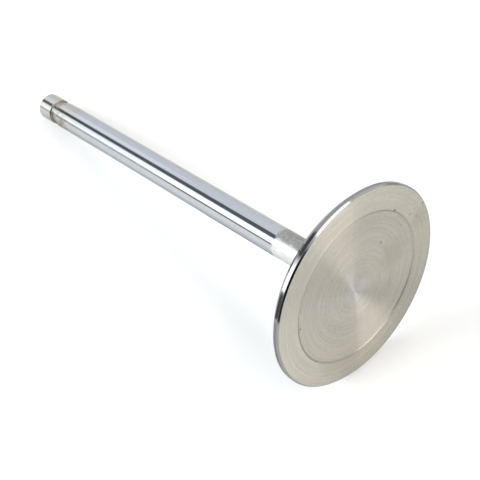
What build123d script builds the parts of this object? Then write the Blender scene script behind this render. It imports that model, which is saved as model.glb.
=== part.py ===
from build123d import *
import os

# Inlet valve of a piston engine: one forging, turned and then ground where it runs, seats and is held.
# Millimetres. The valve stands on its head, with the head's face at Z = 0 and the stem along +Z.
# Every surface is round about that axis, so the whole valve is one half-section turned about Z.

# Overall sizes
head_diameter = 55.0
stem_diameter = 8.0
overall_length = 132.5

# Face of the head: a flat ring round a shallow turned recess, with a small bevel at the outer edge
recess_diameter = 41.5
recess_depth = 0.2
recess_bevel_width = 0.45
face_bevel_width = 0.45
face_bevel_height = 0.36

# Edge of the head: the margin is the upright band between the face and the seat
margin_height = 1.35
seat_angle = 45.0
seat_width = 2.2
back_cut_angle = 30.0
back_cut_width = 1.0

# Underside: a shallow cone that sweeps up into the stem
under_head_angle = 13.0
under_head_radius = 13.0

# Top end of the stem: the groove that the two collet halves grip, and the hardened tip above it
tip_land_length = 5.9
groove_width = 3.0
groove_depth = 0.6
groove_corner_radius = 0.4
groove_edge_break = 0.1
tip_chamfer = 0.5

# Radii and heights that follow from the sizes above
head_radius = head_diameter / 2
stem_radius = stem_diameter / 2
recess_radius = recess_diameter / 2
groove_radius = stem_radius - groove_depth
groove_top = overall_length - tip_land_length
groove_bottom = groove_top - groove_width

with BuildPart() as valve:
    with BuildSketch(Plane.XZ) as half_section:
        with BuildLine():
            # across the face, from the axis out to the edge, and up the margin
            face = Polyline(
                (0, recess_depth),
                (recess_radius - recess_bevel_width, recess_depth),
                (recess_radius, 0),
                (head_radius - face_bevel_width, 0),
                (head_radius, face_bevel_height),
                (head_radius, margin_height),
            )
            # back in over the seat, the back cut and the underside, as far as the stem
            seat = PolarLine(face @ 1, seat_width, 180 - seat_angle)
            back_cut = PolarLine(seat @ 1, back_cut_width, 180 - back_cut_angle)
            underside = PolarLine(
                back_cut @ 1,
                (back_cut @ 1).X - stem_radius,
                180 - under_head_angle,
                length_mode=LengthMode.HORIZONTAL,
            )
            # up the stem and into the groove
            stem = Line(underside @ 1, (stem_radius, groove_bottom - groove_edge_break))
            lower_break = Line(stem @ 1, (stem_radius - groove_edge_break, groove_bottom))
            lower_wall = Line(lower_break @ 1, (groove_radius, groove_bottom))
            groove_floor = Line(lower_wall @ 1, (groove_radius, groove_top))
            # out of the groove, up the tip and in over its end
            tip = Polyline(
                groove_floor @ 1,
                (stem_radius - groove_edge_break, groove_top),
                (stem_radius, groove_top + groove_edge_break),
                (stem_radius, overall_length - tip_chamfer),
                (stem_radius - tip_chamfer, overall_length),
                (0, overall_length),
            )
            Line(tip @ 1, face @ 0)
        make_face()
        neck = half_section.vertices().sort_by_distance(underside @ 1)[0]
        fillet(neck, under_head_radius)
        floor_ends = [
            half_section.vertices().sort_by_distance(groove_floor @ end)[0]
            for end in (0, 1)
        ]
        fillet(floor_ends, groove_corner_radius)
    revolve(axis=Axis.Z)

valve.part.label = "valve"

os.makedirs("parts", exist_ok=True)
export_step(valve.part, "parts/valve.step")
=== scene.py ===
import math

import bpy
import numpy as np
from mathutils import Matrix, Vector


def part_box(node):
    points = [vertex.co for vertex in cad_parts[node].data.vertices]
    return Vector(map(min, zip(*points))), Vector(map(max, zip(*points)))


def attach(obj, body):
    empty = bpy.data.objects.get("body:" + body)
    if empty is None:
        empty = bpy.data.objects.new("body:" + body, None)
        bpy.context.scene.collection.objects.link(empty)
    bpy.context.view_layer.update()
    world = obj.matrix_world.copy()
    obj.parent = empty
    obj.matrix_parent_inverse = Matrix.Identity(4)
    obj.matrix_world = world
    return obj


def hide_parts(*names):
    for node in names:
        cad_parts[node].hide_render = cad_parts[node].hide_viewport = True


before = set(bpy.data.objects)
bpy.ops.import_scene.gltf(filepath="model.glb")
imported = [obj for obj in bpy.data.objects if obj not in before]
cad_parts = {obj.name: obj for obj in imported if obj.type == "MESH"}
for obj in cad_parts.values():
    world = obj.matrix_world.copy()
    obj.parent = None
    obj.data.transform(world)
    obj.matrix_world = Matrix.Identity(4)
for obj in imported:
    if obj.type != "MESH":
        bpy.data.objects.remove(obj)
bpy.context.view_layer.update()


# ------------------------------------------------------------------------------------------
# The valve: one steel forging, turned all over, then ground on its edge, its seat and its stem.
# The stem is hard-chromed from above the satin neck up to the tip, and the face of the head is
# left with the fine rings of the lathe tool.

MM = 0.001

# Sizes in millimetres, with the head's face at a height of nought and the stem along Z
_, valve_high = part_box("valve")
head_radius = valve_high.x / MM
tip_height = valve_high.z / MM
stem_radius = 4.0
recess_radius = 20.75
recess_depth = 0.2
recess_bevel_width = 0.45
face_bevel_width = 0.45
face_bevel_height = 0.36
margin_height = 1.35
seat_angle = math.radians(45)
seat_width = 2.2
back_cut_angle = math.radians(30)
back_cut_width = 1.0
under_head_angle = math.radians(13)
under_head_radius = 13.0
groove_top = tip_height - 5.9
groove_width = 3.0
groove_depth = 0.6
groove_corner_radius = 0.4
groove_edge_break = 0.1
tip_chamfer = 0.5

# What turning and grinding leave on the corners
recess_foot_round = 0.3
recess_rim_round = 0.12
bevel_round = 0.06
underside_round = 0.3
tip_round = 0.1
edge_round = 0.05

# Heights at which the finishes change on the stem
chrome_start = 26.5
chrome_full = 29.5
stain_start = 111.0

groove_foot = groove_top - groove_width
groove_radius = stem_radius - groove_depth
seat_inner_radius = head_radius - seat_width * math.cos(seat_angle)
seat_inner_height = margin_height + seat_width * math.sin(seat_angle)
underside_radius = seat_inner_radius - back_cut_width * math.cos(back_cut_angle)
underside_height = seat_inner_height + back_cut_width * math.sin(back_cut_angle)
neck_height = underside_height + (underside_radius - stem_radius) * math.tan(under_head_angle)

# The finishes, in the order of the mesh's materials
FACE, EDGE, NECK, STEM, END = range(5)

# Each corner of the half-section: radius, height, rounding, and the finish from there on
corners = [
    (0.0, recess_depth, 0.0, FACE),
    (recess_radius - recess_bevel_width, recess_depth, recess_foot_round, FACE),
    (recess_radius, 0.0, recess_rim_round, FACE),
    (head_radius - face_bevel_width, 0.0, edge_round, EDGE),
    (head_radius, face_bevel_height, bevel_round, EDGE),
    (head_radius, margin_height, edge_round, EDGE),
    (seat_inner_radius, seat_inner_height, edge_round, EDGE),
    (underside_radius, underside_height, underside_round, NECK),
    (stem_radius, neck_height, under_head_radius, NECK),
    (stem_radius, chrome_full, 0.0, STEM),
    (stem_radius, stain_start, 0.0, END),
    (stem_radius, groove_foot - groove_edge_break, edge_round, END),
    (stem_radius - groove_edge_break, groove_foot, edge_round, END),
    (groove_radius, groove_foot, groove_corner_radius, END),
    (groove_radius, groove_top, groove_corner_radius, END),
    (stem_radius - groove_edge_break, groove_top, edge_round, END),
    (stem_radius, groove_top + groove_edge_break, edge_round, END),
    (stem_radius, tip_height - tip_chamfer, tip_round, END),
    (stem_radius - tip_chamfer, tip_height, tip_round, END),
    (0.0, tip_height, 0.0, END),
]


def rounded_outline(corners, longest_run):
    """The outline from corner to corner, each corner replaced by an arc that touches both sides.

    An arc of radius r starts r * tan(turn / 2) before its corner and ends as far after it. It has
    four steps, and two more for each millimetre of its length. Gives the points, the outline's
    direction at each, and the finish that follows each."""
    place = np.array([corner[:2] for corner in corners])
    sides = np.diff(place, axis=0)
    along = sides / np.linalg.norm(sides, axis=1)[:, None]
    points = [place[:1]]
    headings = [along[:1]]
    following = [[corners[0][3]]]
    for i, (_, _, radius, finish) in enumerate(corners[1:], 1):
        before = along[i - 1]
        after = along[min(i, len(along) - 1)]
        turn = math.atan2(before[0] * after[1] - before[1] * after[0], float(before @ after))
        start = points[-1][-1]
        run = place[i] - before * radius * math.tan(abs(turn) / 2) - start
        steps = max(2, math.ceil(np.linalg.norm(run) / longest_run))
        share = np.linspace(0, 1, steps + 1)[1:, None]
        points.append(start + run * share)
        headings.append(np.repeat(before[None], steps, 0))
        following.append([corners[i - 1][3]] * (steps - 1) + [finish])
        if radius * abs(turn) > 0:
            steps = 4 + int(abs(turn) * radius * 2)
            angle = np.linspace(0, abs(turn), steps + 1)[1:, None]
            inward = np.array([-before[1], before[0]]) * np.sign(turn)
            end = points[-1][-1]
            points.append(end + radius * (np.sin(angle) * before + (1 - np.cos(angle)) * inward))
            headings.append(np.cos(angle) * before + np.sin(angle) * inward)
            following.append([finish] * steps)
    return np.concatenate(points), np.concatenate(headings), np.concatenate(following)


def turned_mesh(name, outline, heading, finish, columns):
    """The outline turned about Z: the point (r cos a, r sin a, z) at each angle a, in metres.

    A normal is the outline's direction turned a quarter outwards. The UV map runs once round the
    axis in u, and along the outline by its own length in v, and has a copy named OFBake. Each end
    closes on the axis. Gives the mesh and the outline's length."""
    ring = outline[1:-1]
    angle = np.arange(columns) * (2 * math.pi / columns)
    around = np.stack([np.cos(angle), np.sin(angle)], 1)
    body = np.empty((len(ring), columns, 3))
    body[..., :2] = ring[:, None, :1] * around
    body[..., 2] = ring[:, 1:]
    poles = np.array([[0, 0, outline[0, 1]], [0, 0, outline[-1, 1]]])
    points = np.concatenate([body.reshape(-1, 3), poles]) * MM
    normals = np.empty_like(body)
    normals[..., :2] = heading[1:-1, None, 1:] * around
    normals[..., 2] = -heading[1:-1, :1]
    normals = np.concatenate([normals.reshape(-1, 3), [[0, 0, -1], [0, 0, 1]]])

    first = np.arange(columns)
    after = (first + 1) % columns
    row = np.arange(len(ring) - 1)[:, None] * columns
    quads = np.stack([row + first, row + after, row + columns + after, row + columns + first], -1)
    top = (len(ring) - 1) * columns
    below = np.stack([np.full(columns, len(points) - 2), after, first], 1)
    above = np.stack([top + first, top + after, np.full(columns, len(points) - 1)], 1)
    mesh = bpy.data.meshes.new(name)
    faces = quads.reshape(-1, 4).tolist() + below.tolist() + above.tolist()
    mesh.from_pydata(points.tolist(), [], faces)

    length = np.concatenate([[0], np.cumsum(np.linalg.norm(np.diff(outline, axis=0), axis=1))])
    v = length / length[-1]
    u = np.stack([first, first + 1], 0) / columns
    quad_uv = np.empty((len(ring) - 1, columns, 4, 2))
    quad_uv[..., 0] = np.stack([u[0], u[1], u[1], u[0]], -1)
    quad_uv[..., 1] = np.stack([v[1:-2], v[1:-2], v[2:-1], v[2:-1]], -1)[:, None]
    pole_uv = np.empty((2, columns, 3, 2))
    pole_uv[0, ..., 0] = np.stack([u.mean(0), u[1], u[0]], -1)
    pole_uv[1, ..., 0] = np.stack([u[0], u[1], u.mean(0)], -1)
    pole_uv[0, ..., 1] = [v[0], v[1], v[1]]
    pole_uv[1, ..., 1] = [v[-2], v[-2], v[-1]]
    uv = np.concatenate([quad_uv.reshape(-1, 2), pole_uv.reshape(-1, 2)]).astype(np.float32)
    for layer in ("turning", "OFBake"):
        mesh.uv_layers.new(name=layer).data.foreach_set("uv", uv.ravel())
    zone = np.concatenate([np.repeat(finish[1:-2], columns), np.repeat(finish[[0, -2]], columns)])
    mesh.polygons.foreach_set("material_index", zone.astype(np.int32))
    mesh.polygons.foreach_set("use_smooth", np.ones(len(zone), bool))
    mesh.update()
    mesh.normals_split_custom_set_from_vertices(normals.tolist())
    return mesh, length[-1]


longest_run = 2.0
columns_round = 360
outline, heading, finish = rounded_outline(corners, longest_run)
valve_mesh, outline_length = turned_mesh("engine_valve", outline, heading, finish, columns_round)
valve = bpy.data.objects.new("engine_valve", valve_mesh)
bpy.context.scene.collection.objects.link(valve)


def place_node(tree, kind, inputs=None, **settings):
    """A new node; each input is set to a value, or linked where it is given a socket."""
    node = tree.nodes.new(kind)
    for setting, value in settings.items():
        setattr(node, setting, value)
    for socket, value in (inputs or {}).items():
        if isinstance(value, bpy.types.NodeSocket):
            tree.links.new(value, node.inputs[socket])
        else:
            node.inputs[socket].default_value = value
    return node


def work_out(tree, operation, *values):
    """One step of arithmetic on sockets or numbers."""
    node = place_node(tree, "ShaderNodeMath", dict(enumerate(values)), operation=operation)
    return node.outputs[0]


def fade(tree, value, start, end, low=0.0, high=1.0):
    """Goes smoothly from low to high while value goes from start to end."""
    inputs = {"Value": value, "From Min": start, "From Max": end, "To Min": low, "To Max": high}
    node = place_node(tree, "ShaderNodeMapRange", inputs, interpolation_type="SMOOTHSTEP")
    return node.outputs["Result"]


def blend_colors(tree, share, first, second):
    """The first colour, with that share of the second."""
    node = place_node(tree, "ShaderNodeMix", data_type="RGBA")
    for socket, value in ((node.inputs[0], share), (node.inputs[6], first), (node.inputs[7], second)):
        if isinstance(value, bpy.types.NodeSocket):
            tree.links.new(value, socket)
        else:
            socket.default_value = value if socket.type == "VALUE" else (*value, 1)
    return node.outputs[2]


def in_millimetres(tree):
    """Object coordinates in millimetres."""
    place = place_node(tree, "ShaderNodeTexCoord").outputs["Object"]
    inputs = {0: place, "Scale": 1 / MM}
    return place_node(tree, "ShaderNodeVectorMath", inputs, operation="SCALE").outputs[0]


def parts_of(tree, vector):
    """Its X, Y and Z."""
    return place_node(tree, "ShaderNodeSeparateXYZ", {0: vector}).outputs


def flat_length(tree, vector):
    """Its length across the axis, with Z left out."""
    part = parts_of(tree, vector)
    flat = place_node(tree, "ShaderNodeCombineXYZ", {0: part[0], 1: part[1]}).outputs[0]
    return place_node(tree, "ShaderNodeVectorMath", {0: flat}, operation="LENGTH").outputs["Value"]


def new_group(name, inputs, outputs):
    """A node group with those sockets, and its sockets as its own nodes see them."""
    tree = bpy.data.node_groups.new(name, "ShaderNodeTree")
    for socket, kind, value in inputs:
        made = tree.interface.new_socket(socket, in_out="INPUT", socket_type="NodeSocket" + kind)
        if value is not None:
            made.default_value = value
    for socket, kind in outputs:
        tree.interface.new_socket(socket, in_out="OUTPUT", socket_type="NodeSocket" + kind)
    given = tree.nodes.new("NodeGroupInput")
    put_out = tree.nodes.new("NodeGroupOutput")
    return tree, given.outputs, put_out.inputs


def lathe_marks():
    """Fine marks that run round the axis: noise over the distance along the outline, which
    changes only slowly with the angle, because the angle goes in as a small circle."""
    tree, given, put_out = new_group(
        "lathe_marks", [("Spacing", "Float", 1.0), ("Change", "Float", 1.0)], [("Tone", "Float")])
    darkest = 0.3
    lightest = 0.7
    uv = place_node(tree, "ShaderNodeUVMap", uv_map="turning")
    split = parts_of(tree, uv.outputs[0])
    angle = work_out(tree, "MULTIPLY", split[0], 2 * math.pi)
    along = work_out(tree, "MULTIPLY", split[1], outline_length)
    across = work_out(tree, "DIVIDE", along, given["Spacing"])
    x = work_out(tree, "MULTIPLY", work_out(tree, "COSINE", angle), given["Change"])
    y = work_out(tree, "MULTIPLY", work_out(tree, "SINE", angle), given["Change"])
    place = place_node(tree, "ShaderNodeCombineXYZ", {0: across, 1: x, 2: y})
    noise = place_node(tree, "ShaderNodeTexNoise", {"Vector": place.outputs[0], "Scale": 1.0,
                                                    "Detail": 3.0, "Roughness": 0.6})
    tree.links.new(fade(tree, noise.outputs["Fac"], darkest, lightest), put_out["Tone"])
    return tree


def smudges():
    """Cloudy noise in Object coordinates, for stains and handling: Size is in millimetres."""
    tree, given, put_out = new_group(
        "smudges", [("Size", "Float", 8.0), ("Seed", "Float", 0.0)], [("Cloud", "Float")])
    place = place_node(tree, "ShaderNodeTexCoord").outputs["Object"]
    scale = work_out(tree, "DIVIDE", 1 / MM, given["Size"])
    inputs = {"Vector": place, "W": given["Seed"], "Scale": scale, "Detail": 4.0}
    clouds = place_node(tree, "ShaderNodeTexNoise", inputs, noise_dimensions="4D")
    tree.links.new(clouds.outputs["Fac"], put_out["Cloud"])
    return tree


def spot():
    """One where Object coordinates are near the given place, and fading to nought at Reach from it.
    Both are in millimetres, and cloudy noise makes its outline ragged."""
    tree, given, put_out = new_group(
        "spot", [("Place", "Vector", None), ("Reach", "Float", 1.0), ("Ragged", "Float", 0.6)],
        [("Share", "Float")])
    blotches_per_reach = 2.5
    core_share = 0.3
    place = in_millimetres(tree)
    gap = place_node(tree, "ShaderNodeVectorMath", {0: place, 1: given["Place"]}, operation="DISTANCE")
    reached = work_out(tree, "DIVIDE", gap.outputs["Value"], given["Reach"])
    scale = work_out(tree, "DIVIDE", blotches_per_reach, given["Reach"])
    noise = place_node(tree, "ShaderNodeTexNoise", {"Vector": place, "Scale": scale, "Detail": 3.0})
    centred = work_out(tree, "SUBTRACT", noise.outputs["Fac"], 0.5)
    wander = work_out(tree, "MULTIPLY", centred, given["Ragged"])
    edge = work_out(tree, "ADD", reached, work_out(tree, "MULTIPLY", wander, 2.0))
    tree.links.new(fade(tree, edge, core_share, 1.0, 1.0, 0.0), put_out["Share"])
    return tree


marks_group = lathe_marks()
smudge_group = smudges()
spot_group = spot()


def place_group(tree, group, **inputs):
    """The outputs of a group, placed with those inputs."""
    return place_node(tree, "ShaderNodeGroup", inputs, node_tree=group).outputs


def about_axis(angle, radius, height):
    """A place by its angle about the axis, its distance from it and its height above the face."""
    a = math.radians(angle)
    return (radius * math.cos(a), radius * math.sin(a), height)


def stained(tree, color, share, stain, **spot_inputs):
    """The colour with a spot of stain on it, which shows by that share in the spot's middle."""
    spread = place_group(tree, spot_group, **spot_inputs)["Share"]
    return blend_colors(tree, work_out(tree, "MULTIPLY", spread, share), color, stain)


def steel(name, anisotropic):
    """A bare metal whose highlights are drawn out across the marks that run round the axis."""
    grazing_tint = (0.7, 0.7, 0.71, 1)
    quarter_turn = 0.25
    material = bpy.data.materials.new(name)
    material.use_nodes = True
    tree = material.node_tree
    sockets = tree.nodes["Principled BSDF"].inputs
    sockets["Metallic"].default_value = 1.0
    sockets["Specular Tint"].default_value = grazing_tint
    sockets["Anisotropic"].default_value = anisotropic
    sockets["Anisotropic Rotation"].default_value = quarter_turn
    round_axis = place_node(tree, "ShaderNodeTangent", direction_type="UV_MAP", uv_map="turning")
    tree.links.new(round_axis.outputs[0], sockets["Tangent"])
    return material, tree, sockets


def bump(tree, height):
    """The normal of a surface raised by that many millimetres."""
    return place_node(tree, "ShaderNodeBump", {"Height": height, "Distance": MM}).outputs[0]


def face_rings(tree, radius, bearing):
    """The tone of the face, which stays about a half: noise over the radius, in wide rings and in
    fine ones, which changes slowly with the bearing, and a grain over both."""
    # Each noise's spacing in millimetres, change round the axis, seed and weight
    noises = [(0.8, 0.5, 3.0, 0.35), (0.28, 1.0, 7.0, 0.65)]
    grain_weight = 0.35
    tones = []
    for spacing, change, seed, weight in noises:
        rings = place_node(tree, "ShaderNodeCombineXYZ", {
            0: work_out(tree, "DIVIDE", radius, spacing),
            1: work_out(tree, "MULTIPLY", bearing[0], change),
            2: work_out(tree, "MULTIPLY", bearing[1], change)})
        inputs = {"Vector": rings.outputs[0], "W": seed, "Scale": 1.0, "Detail": 2.0}
        noise = place_node(tree, "ShaderNodeTexNoise", inputs, noise_dimensions="4D")
        tones.append(work_out(tree, "MULTIPLY", noise.outputs["Fac"], weight))
    grain = place_group(tree, smudge_group, Size=0.8, Seed=6.0)["Cloud"]
    uneven = work_out(tree, "MULTIPLY", work_out(tree, "SUBTRACT", grain, 0.5), grain_weight)
    return work_out(tree, "ADD", work_out(tree, "ADD", *tones), uneven)


def turned_face():
    """Rings of the lathe tool, about a centre that strays from the axis in the middle. A dark line of
    painted shade marks the corner of the step, stronger on the +Y side, and the face rises to it from
    both sides. The middle has a cooler painted sheen, and there are stains from handling and a few
    pits."""
    recess_tones = (0.475, 0.453, 0.396), (0.567, 0.541, 0.471)
    outer_tones = (0.5, 0.477, 0.413), (0.583, 0.556, 0.483)
    middle_sheen_tone = (0.53, 0.528, 0.53)
    step_shade_tone = (0.22, 0.21, 0.18)
    smudge_tone = (0.47, 0.45, 0.395)
    pit_tone = (0.1, 0.09, 0.07)
    pit_strength = 0.75
    smudge_share = 0.35
    middle_sheen_share = 0.6
    sheen_core = 2.0
    sheen_reach = 5.5
    rise_to_step = math.radians(4.0)
    ring_height = 0.02
    ring_roughness = 0.27, 0.31
    outer_polish = 0.03
    face_height = recess_depth / 2

    # The radii at which the outer tones and the step's dark line of painted shade come and go, and
    # the shade's strength on the -Y side of the face and on its +Y side
    outer_start = recess_radius - 0.2
    outer_full = recess_radius + 0.1
    step_shade_start = recess_radius - 0.55
    step_shade_full = recess_radius - 0.35
    step_shade_end = recess_radius + 0.3
    step_shade_strength = 0.2, 0.5

    # How far the rings' centre strays from the axis, and the radii over which it comes back
    stray_x = -1.25
    stray_y = 0.27
    stray_start = 2.0
    stray_end = 15.0

    # Each stain's angle, distance from the axis, reach, strength and tone
    stains = [
        (350, 13, 6.0, 0.5, (0.4, 0.38, 0.315)),
        (342, 24, 4.0, 0.5, (0.41, 0.39, 0.33)),
        (336, 24.5, 2.5, 0.3, (0.56, 0.46, 0.385)),
        (316, 6, 3.0, 0.35, (0.58, 0.49, 0.43)),
        (124, 18, 3.0, 0.3, (0.6, 0.5, 0.45)),
        (135, 23.5, 3.5, 0.3, (0.6, 0.5, 0.45)),
        (65, 12.5, 3.5, 0.3, (0.6, 0.51, 0.46)),
        (178, 13.5, 4.5, 0.4, (0.49, 0.49, 0.49)),
        (205, 17, 2.5, 0.3, (0.47, 0.48, 0.51)),
        (245, 6.5, 3.5, 0.4, (0.5, 0.5, 0.5)),
        (42, 10, 6.0, 0.25, (0.46, 0.44, 0.36)),
    ]
    # Each pit's angle, distance from the axis and reach
    pits = [(315.5, 12.4, 0.5), (183, 19.9, 0.4), (335, 26.9, 0.5), (312, 20.9, 0.6),
            (338, 23.4, 0.4), (331, 22.2, 0.35)]

    material, tree, sockets = steel("turned_face", 1.0)
    place = in_millimetres(tree)
    radius = flat_length(tree, place)
    stray = place_node(tree, "ShaderNodeCombineXYZ", {
        0: fade(tree, radius, stray_start, stray_end, stray_x, 0.0),
        1: fade(tree, radius, stray_start, stray_end, stray_y, 0.0)})
    turned = place_node(tree, "ShaderNodeVectorMath", {0: place, 1: stray.outputs[0]},
                        operation="SUBTRACT").outputs[0]
    turned_radius = flat_length(tree, turned)
    part = parts_of(tree, turned)
    along = place_node(tree, "ShaderNodeCombineXYZ",
                       {0: work_out(tree, "MULTIPLY", part[1], -1.0), 1: part[0]})
    tree.links.new(along.outputs[0], sockets["Tangent"])
    direction = place_node(tree, "ShaderNodeVectorMath", {0: turned}, operation="NORMALIZE")
    bearing = parts_of(tree, direction.outputs[0])
    tone = face_rings(tree, turned_radius, bearing)

    outside = fade(tree, radius, outer_start, outer_full)
    contrast = fade(tree, tone, 0.35, 0.65)
    color = blend_colors(tree, outside, blend_colors(tree, contrast, *recess_tones),
                         blend_colors(tree, contrast, *outer_tones))
    # A cooler grey painted sheen in the middle of the face, about the rings' centre
    middle = fade(tree, turned_radius, sheen_core, sheen_reach, middle_sheen_share, 0.0)
    color = blend_colors(tree, middle, color, middle_sheen_tone)
    # The step's dark line is painted shade in the corner of the step, stronger on the +Y side
    step_shade = work_out(tree, "MULTIPLY", fade(tree, radius, step_shade_start, step_shade_full),
                    fade(tree, radius, recess_radius, step_shade_end, 1.0, 0.0))
    step_shade = work_out(tree, "MULTIPLY", step_shade, fade(tree, bearing[1], -1.0, 1.0, *step_shade_strength))
    color = blend_colors(tree, step_shade, color, step_shade_tone)
    cloud = place_group(tree, smudge_group, Size=7.0, Seed=1.0)["Cloud"]
    color = blend_colors(tree, fade(tree, cloud, 0.5, 0.75, 0.0, smudge_share), color, smudge_tone)
    for angle, distance, reach, strength, stain in stains:
        color = stained(tree, color, strength, stain,
                        Place=about_axis(angle, distance, face_height), Reach=reach)
    for angle, distance, reach in pits:
        color = stained(tree, color, pit_strength, pit_tone,
                        Place=about_axis(angle, distance, face_height), Reach=reach, Ragged=0.3)
    tree.links.new(color, sockets["Base Color"])

    roughness = work_out(tree, "SUBTRACT", fade(tree, tone, 0.3, 0.7, *ring_roughness),
                         work_out(tree, "MULTIPLY", outside, outer_polish))
    tree.links.new(roughness, sockets["Roughness"])
    from_step = work_out(tree, "ABSOLUTE", work_out(tree, "SUBTRACT", radius, recess_radius))
    rise = work_out(tree, "MULTIPLY", from_step, -math.tan(rise_to_step))
    height = work_out(tree, "ADD", rise, work_out(tree, "MULTIPLY", tone, ring_height))
    tree.links.new(bump(tree, height), sockets["Normal"])
    return material


def ground_edge():
    """Ground bright, with very fine marks."""
    dark_tone = (0.31, 0.31, 0.3)
    light_tone = (0.35, 0.35, 0.34)
    mark_roughness = 0.1, 0.14
    material, tree, sockets = steel("ground_edge", 0.2)
    marks = place_group(tree, marks_group, Spacing=0.15, Change=4.0)["Tone"]
    tree.links.new(blend_colors(tree, marks, dark_tone, light_tone), sockets["Base Color"])
    tree.links.new(fade(tree, marks, 0.0, 1.0, *mark_roughness), sockets["Roughness"])
    return material


# The chrome's mean tone, in which the neck and the worn end meet it
chrome_tone = (0.58, 0.605, 0.628)


def satin_neck():
    """Blasted matt as far as the chrome, which begins along a soft and ragged line. One side of it
    is painted a darker, blotchy grey as shade, but not the underside of the head."""
    satin_tones = (0.66, 0.655, 0.62), (0.74, 0.735, 0.705)
    shade_tones = (0.3, 0.298, 0.27), (0.38, 0.378, 0.355)
    underside_end = 12.0
    shade_full = 17.0
    shade_edge = 1.12
    shade_core = 1.3
    grit_height = 0.12
    satin_metallic = 0.6
    satin_roughness = 0.38
    chrome_roughness = 0.1
    # How far the grain and the clouds can each carry the chrome's beginning down the stem
    grain_carry = 2.0
    cloud_carry = 3.0
    carried_start = chrome_start + 1.9
    carried_full = chrome_start + 3.0
    # Its dot product with a place on the stem is one on the shaded side and minus one opposite
    shaded_side = about_axis(283, 1 / stem_radius, 0)

    material, tree, sockets = steel("satin_neck", 0.2)
    place = in_millimetres(tree)
    height = parts_of(tree, place)[2]
    grain = place_group(tree, smudge_group, Size=0.8, Seed=4.0)["Cloud"]
    cloud = place_group(tree, smudge_group, Size=4.0, Seed=2.0)["Cloud"]
    ragged = work_out(tree, "ADD", work_out(tree, "MULTIPLY", grain, grain_carry),
                      work_out(tree, "MULTIPLY", cloud, cloud_carry))
    chrome = fade(tree, work_out(tree, "ADD", height, ragged), carried_start, carried_full)
    blotches = work_out(tree, "ADD", work_out(tree, "MULTIPLY", grain, 0.5),
                        work_out(tree, "MULTIPLY", cloud, 0.5))
    satin = blend_colors(tree, fade(tree, blotches, 0.4, 0.6), *satin_tones)
    # Painted shade: one side of the neck is made a darker grey, faded out under the head
    facing = place_node(tree, "ShaderNodeVectorMath", {0: place, 1: shaded_side},
                        operation="DOT_PRODUCT").outputs["Value"]
    side = fade(tree, work_out(tree, "ADD", facing, blotches), shade_edge, shade_core)
    stain = work_out(tree, "MULTIPLY", side, fade(tree, height, underside_end, shade_full))
    shade_tone = blend_colors(tree, fade(tree, grain, 0.4, 0.6), *shade_tones)
    color = blend_colors(tree, chrome, blend_colors(tree, stain, satin, shade_tone), chrome_tone)
    tree.links.new(color, sockets["Base Color"])
    tree.links.new(fade(tree, chrome, 0.0, 1.0, satin_metallic, 1.0), sockets["Metallic"])
    roughness = fade(tree, chrome, 0.0, 1.0, satin_roughness, chrome_roughness)
    tree.links.new(roughness, sockets["Roughness"])
    grit = work_out(tree, "MULTIPLY", grain, fade(tree, chrome, 0.0, 1.0, grit_height, 0.0))
    tree.links.new(bump(tree, grit), sockets["Normal"])
    return material


def chromed_stem():
    """Hard chrome, ground and polished, with fine marks round it."""
    mark_contrast = 0.022
    mark_roughness = 0.08, 0.12
    dark_tone = [share - mark_contrast for share in chrome_tone]
    light_tone = [share + mark_contrast for share in chrome_tone]
    material, tree, sockets = steel("chromed_stem", 0.5)
    marks = place_group(tree, marks_group, Spacing=0.4, Change=3.0)["Tone"]
    tree.links.new(blend_colors(tree, marks, dark_tone, light_tone), sockets["Base Color"])
    tree.links.new(fade(tree, marks, 0.0, 1.0, *mark_roughness), sockets["Roughness"])
    return material


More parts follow.
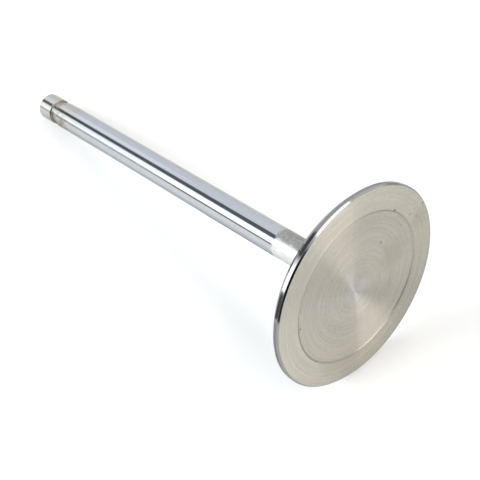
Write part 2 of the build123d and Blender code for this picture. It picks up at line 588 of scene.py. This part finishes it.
def worn_end():
    """The chrome turns warmer towards the groove, and there is a brown stain below it. The groove
    has dull brown patches, and its upper wall is painted dark as shade, with a black painted
    shadow on one side. The tip above it is ground and a little duller."""
    warm_tone = (0.59, 0.575, 0.525)
    tip_tone = (0.63, 0.6, 0.57)
    groove_tone = (0.44, 0.415, 0.37)
    wall_shade_tone = (0.1, 0.092, 0.08)
    tip_share = 0.8
    groove_share = 0.5
    wall_shade_share = 0.6
    stem_roughness = 0.1
    tip_roughness = 0.18
    groove_dulling = 0.08
    warm_full = groove_foot - 4.0
    warm_wander = 6.0
    dull_start = groove_foot - 3.0
    stain_radius = stem_radius - 0.2
    # Each stain's angle, height, reach, share that comes in rings, strength and tone
    stains = [
        (186, 121.6, 4.4, 0.8, 1.0, (0.23, 0.21, 0.17)),
        (174, 125.6, 3.2, 0.2, 0.6, (0.19, 0.18, 0.16)),
        # The near-black spot at 205 degrees is a painted shadow of the groove's upper wall
        (205, 126.0, 1.4, 0.0, 1.0, (0.02, 0.018, 0.015)),
        (258, 125.0, 2.6, 0.0, 0.6, (0.44, 0.39, 0.32)),
        (287, 125.6, 2.2, 0.0, 0.3, (0.27, 0.26, 0.235)),
        (275, 129.5, 3.0, 0.3, 0.4, (0.5, 0.46, 0.42)),
    ]

    material, tree, sockets = steel("worn_end", 0.5)
    place = in_millimetres(tree)
    height = parts_of(tree, place)[2]
    radius = flat_length(tree, place)
    marks = place_group(tree, marks_group, Spacing=0.9, Change=1.0)["Tone"]
    cloud = place_group(tree, smudge_group, Size=2.5, Seed=5.0)["Cloud"]
    wander = work_out(tree, "MULTIPLY", work_out(tree, "SUBTRACT", cloud, 0.5), warm_wander)
    warm = fade(tree, work_out(tree, "ADD", height, wander), stain_start, warm_full)
    color = blend_colors(tree, warm, chrome_tone, warm_tone)
    for angle, at_height, reach, ringed, strength, stain in stains:
        rings = fade(tree, marks, 0.3, 0.7, strength * (1 - ringed), strength)
        color = stained(tree, color, rings, stain,
                        Place=about_axis(angle, stain_radius, at_height), Reach=reach, Ragged=0.9)
    tip = fade(tree, height, groove_top - 0.05, groove_top + 0.1)
    color = blend_colors(tree, work_out(tree, "MULTIPLY", tip, tip_share), color, tip_tone)
    inside = fade(tree, radius, stem_radius - 0.35, stem_radius - 0.05, 1.0, 0.0)
    below_tip = fade(tree, height, groove_top + 1.0, groove_top + 1.1, 1.0, 0.0)
    groove = work_out(tree, "MULTIPLY", inside, below_tip)
    color = blend_colors(tree, work_out(tree, "MULTIPLY", groove, groove_share), color, groove_tone)
    # The groove's upper wall is painted dark all round as shade
    wall_shade = work_out(tree, "MULTIPLY", fade(tree, height, groove_top - 0.35, groove_top - 0.1), groove)
    color = blend_colors(tree, work_out(tree, "MULTIPLY", wall_shade, wall_shade_share), color, wall_shade_tone)
    tree.links.new(color, sockets["Base Color"])
    dull = fade(tree, height, dull_start, groove_foot, stem_roughness, tip_roughness)
    roughness = work_out(tree, "ADD", dull, work_out(tree, "MULTIPLY", groove, groove_dulling))
    tree.links.new(roughness, sockets["Roughness"])
    return material


for make_finish in (turned_face, ground_edge, satin_neck, chromed_stem, worn_end):
    valve_mesh.materials.append(make_finish())

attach(valve, "root")
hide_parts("valve")


# ------------------------------------------------------------------------------------------
# The table top: a white sheet. The valve lies on it on two points, the rim of its head and the
# edge of its tip, so the sheet's upright leans away from the valve's own frame.

rim = Vector((0, head_radius, margin_height)) * MM
tip_edge = Vector((0, stem_radius, tip_height - tip_chamfer)) * MM
lean = math.atan2(rim.y - tip_edge.y, tip_edge.z - rim.z)
up = Vector((0, -math.cos(lean), -math.sin(lean)))
sheet_place = up * rim.dot(up)
sheet_reach = 1.5
paper_tone = (0.81, 0.8, 0.78, 1)
camera_glow = 0.21
mirrored_glow = 0.07


def sheet_material():
    """Shadows fall on it as on paper, and it is white to the camera and in the metal. It is
    clear from below."""
    material = bpy.data.materials.new("white_sheet")
    material.use_nodes = True
    tree = material.node_tree
    tree.nodes.clear()
    path = place_node(tree, "ShaderNodeLightPath").outputs
    mirrored = work_out(tree, "MAXIMUM", path["Is Glossy Ray"], path["Is Transmission Ray"])
    shown = work_out(tree, "ADD", work_out(tree, "MULTIPLY", path["Is Camera Ray"], camera_glow),
                     work_out(tree, "MULTIPLY", mirrored, mirrored_glow))
    glow = place_node(tree, "ShaderNodeEmission", {"Strength": shown})
    paper = place_node(tree, "ShaderNodeBsdfDiffuse", {"Color": paper_tone})
    lit = place_node(tree, "ShaderNodeAddShader", {0: paper.outputs[0], 1: glow.outputs[0]})
    below = place_node(tree, "ShaderNodeNewGeometry").outputs["Backfacing"]
    clear = place_node(tree, "ShaderNodeBsdfTransparent")
    sides = place_node(tree, "ShaderNodeMixShader", {0: below, 1: lit.outputs[0], 2: clear.outputs[0]})
    place_node(tree, "ShaderNodeOutputMaterial", {"Surface": sides.outputs[0]})
    return material


sheet_along = Vector((1, 0, 0))
sheet_across = up.cross(sheet_along)
sheet_mesh = bpy.data.meshes.new("white_sheet")
sheet_corners = [sheet_place + (sheet_along * i + sheet_across * j) * sheet_reach
                 for i, j in ((-1, -1), (1, -1), (1, 1), (-1, 1))]
sheet_mesh.from_pydata([tuple(corner) for corner in sheet_corners], [], [(0, 1, 2, 3)])
sheet_mesh.materials.append(sheet_material())
sheet = bpy.data.objects.new("white_sheet", sheet_mesh)
bpy.context.scene.collection.objects.link(sheet)


# ------------------------------------------------------------------------------------------
# The camera: a rather long lens, about 30 cm from the valve. It looks down at the face of the
# head, with the stem running away to the upper left.

camera_place = Vector((-0.13577, -0.18071, -0.13620))
camera_aim = Vector((0.00695, 0.01826, 0.05346))
camera_data = bpy.data.cameras.new("camera")
camera_data.sensor_width = 36
camera_data.lens = 80.84
camera_data.clip_start = 0.01
camera_data.clip_end = 20


def looking(place, back):
    """At that place, with its own -Z away from back and its own Y as upright as it can be."""
    across = up.cross(back).normalized()
    axes = Matrix((across, back.cross(across), back)).transposed()
    return Matrix.Translation(place) @ axes.to_4x4()


camera = bpy.data.objects.new("camera", camera_data)
camera.matrix_world = looking(camera_place, (camera_place - camera_aim).normalized())
bpy.context.scene.collection.objects.link(camera)
bpy.context.scene.camera = camera


# ------------------------------------------------------------------------------------------
# The studio: a cool window-like softbox on the left, a warm one on the right, and dark flags
# that draw the dark lines in the polished metal. Three lamps light the sheet and are not seen in
# the metal, and the cards show only in the metal.

studio_centre = Vector((0, 0, 0.02))
to_camera = camera_place - studio_centre
to_camera = (to_camera - up * to_camera.dot(up)).normalized()
to_right = up.cross(to_camera)
lamp_distance = 1.2

# The windows are so far off that their edges stay parallel in the stem. What stands in front of
# them is a little nearer.
window_distance = 5.0
flag_distance = 4.9
front_distance = 4.8


def towards(azimuth, elevation):
    """Azimuth 0 is the camera's side and grows to the right, and elevation is above the sheet."""
    a = math.radians(azimuth)
    e = math.radians(elevation)
    return (to_camera * math.cos(a) + to_right * math.sin(a)) * math.cos(e) + up * math.sin(e)


def on_table(right, near, height=0.3):
    """That many millimetres to the right of the studio's centre, nearer than it and above the sheet."""
    foot = studio_centre - up * (studio_centre - sheet_place).dot(up)
    return foot + (to_right * right + to_camera * near + up * height) * MM


def lamp(name, azimuth, elevation, width, energy, color):
    """A square soft lamp that lights the sheet, but is not seen in the metal."""
    data = bpy.data.lights.new(name, "AREA")
    data.shape = "SQUARE"
    data.size = width
    data.energy = energy
    data.color = color
    light = bpy.data.objects.new(name, data)
    ray = towards(azimuth, elevation)
    light.matrix_world = looking(studio_centre + ray * lamp_distance, ray)
    light.visible_camera = False
    light.visible_glossy = False
    bpy.context.scene.collection.objects.link(light)


def glowing_card(name, places, color, strength):
    """A flat glowing card with those corners, seen only in the metal."""
    mesh = bpy.data.meshes.new(name)
    mesh.from_pydata([tuple(place) for place in places], [], [range(len(places))])
    material = bpy.data.materials.new(name)
    material.use_nodes = True
    tree = material.node_tree
    tree.nodes.clear()
    glow = place_node(tree, "ShaderNodeEmission", {"Color": (*color, 1), "Strength": strength})
    place_node(tree, "ShaderNodeOutputMaterial", {"Surface": glow.outputs[0]})
    mesh.materials.append(material)
    card = bpy.data.objects.new(name, mesh)
    bpy.context.scene.collection.objects.link(card)
    card.visible_camera = False
    card.visible_diffuse = False
    card.visible_shadow = False
    card.visible_transmission = False


def far_card(name, directions, color, strength, distance=window_distance):
    """A card whose corners lie in those directions, each an azimuth and an elevation in degrees."""
    rays = [towards(*direction) for direction in directions]
    middle = sum(rays, Vector()).normalized()
    places = [studio_centre + ray * (distance / ray.dot(middle)) for ray in rays]
    glowing_card(name, places, color, strength)


def near_card(name, places, color, strength):
    """A card lying just above the sheet, or higher where its corners have a height as well."""
    glowing_card(name, [on_table(*place) for place in places], color, strength)


lamp("left_lamp", -68, 27, 0.8, 18.0, (0.91, 0.965, 1.03))
lamp("right_lamp", 76, 42, 1.2, 11.0, (1.0, 0.99, 0.97))
lamp("rear_lamp", 165, 55, 0.4, 2.5, (1.0, 1.0, 1.0))

far_card("left_window", [(-88, 3.2), (-48, 3.2), (-48, 50), (-66, 50), (-88, 31)],
         (0.94, 0.98, 1.0), 4.0)
far_card("left_window_end", [(-98, 2), (-88, 3.2), (-88, 31), (-98, 27)], (0.92, 0.98, 1.03), 1.8)
far_card("left_window_tip", [(-113, 2), (-98, 2), (-98, 27), (-110, 22)], (0.92, 0.98, 1.03), 1.4)
far_card("window_foot", [(-86, -1), (-48, -1), (-48, 3.2), (-86, 3.2)], (0.95, 1.0, 1.0), 0.5)
far_card("right_window", [(48, 12), (86, 12), (86, 45), (48, 45)], (1.0, 0.97, 0.9), 4.3)
far_card("left_flag", [(-64, 51), (-95, 30), (-107, 21.8), (-114, 14), (-127, 14), (-112, 60)],
         (0.77, 0.88, 1.0), 0.17, flag_distance)
far_card("rear_wall", [(-127, 8), (-168, 8), (-168, 37), (-124, 37)],
         (0.99, 1.04, 1.13), 0.88, flag_distance)
far_card("rear_glow", [(-126, 20), (-150, 20), (-148, 36), (-125, 36)],
         (1.0, 1.03, 1.08), 1.1, front_distance)
far_card("right_glow", [(90, 8), (123, 8), (123, 38), (90, 38)], (1.0, 0.99, 0.96), 1.25)
far_card("right_flag", [(92, 0), (150, 0), (150, 8), (92, 8)], (1, 1, 1), 0.75)
far_card("camera_flag", [(12, -1), (44, -1), (40, 30), (12, 30)], (1, 1, 1), 0.02, front_distance)

near_card("table_gap", [(-175, 90), (-150, 30), (-137, 3), (-131, -15), (-1600, 0), (-1600, 500)],
          (0.95, 1, 1), 0.36)
near_card("far_table_gap", [(-131, -15), (-116, -60), (-104, -100), (-1600, -400), (-1600, 0)],
          (0.95, 1, 1), 0.68)
near_card("table_front", [(-60, 155), (160, 155), (700, 1500), (-60, 1500)], (1, 1, 1), 0.04)
near_card("rim_flag", [(-60, 30, 12), (-60, 60, 12), (-60, 60, 43), (-60, 30, 43)], (0.8, 0.9, 1), 0.2)
near_card("stem_shade", [(-8.5, -2.5, 10), (-13.5, -8, 10), (-24.5, -17, 10), (-34.5, -27.5, 10),
                         (-44, -37, 10), (-42, -41, 10), (-31, -33, 10), (-20, -24, 10),
                         (-9, -16, 10), (-3, -11, 10)], (1, 1, 1), 0.3)
near_card("rim_shade", [(6, 12), (6, 26), (1, 28), (1, 34), (-17, 42), (-60, 62), (-75, 50), (-60, 30),
                        (-30, 22), (-10, 12)], (0.98, 1, 1), 0.82)

# The room's own light: low on the sheet, bright in the metal, and white behind everything
room_tone = (0.98, 1.0, 1.04, 1)
room_on_sheet = 0.28
room_in_metal = 0.92
room_behind = 1.0

world = bpy.data.worlds.new("studio")
bpy.context.scene.world = world
world.use_nodes = True
world_tree = world.node_tree
world_tree.nodes.clear()
seen_by = place_node(world_tree, "ShaderNodeLightPath").outputs
seen = work_out(world_tree, "MAXIMUM", seen_by["Is Camera Ray"],
                work_out(world_tree, "MAXIMUM", seen_by["Is Glossy Ray"], seen_by["Is Transmission Ray"]))
behind = work_out(world_tree, "MULTIPLY", seen_by["Is Camera Ray"], room_behind - room_in_metal)
room_light = work_out(world_tree, "ADD", behind,
                      fade(world_tree, seen, 0, 1, room_on_sheet, room_in_metal))
background = place_node(world_tree, "ShaderNodeBackground", {"Color": room_tone, "Strength": room_light})
place_node(world_tree, "ShaderNodeOutputWorld", {"Surface": background.outputs[0]})

bpy.context.scene.view_settings.view_transform = "Standard"
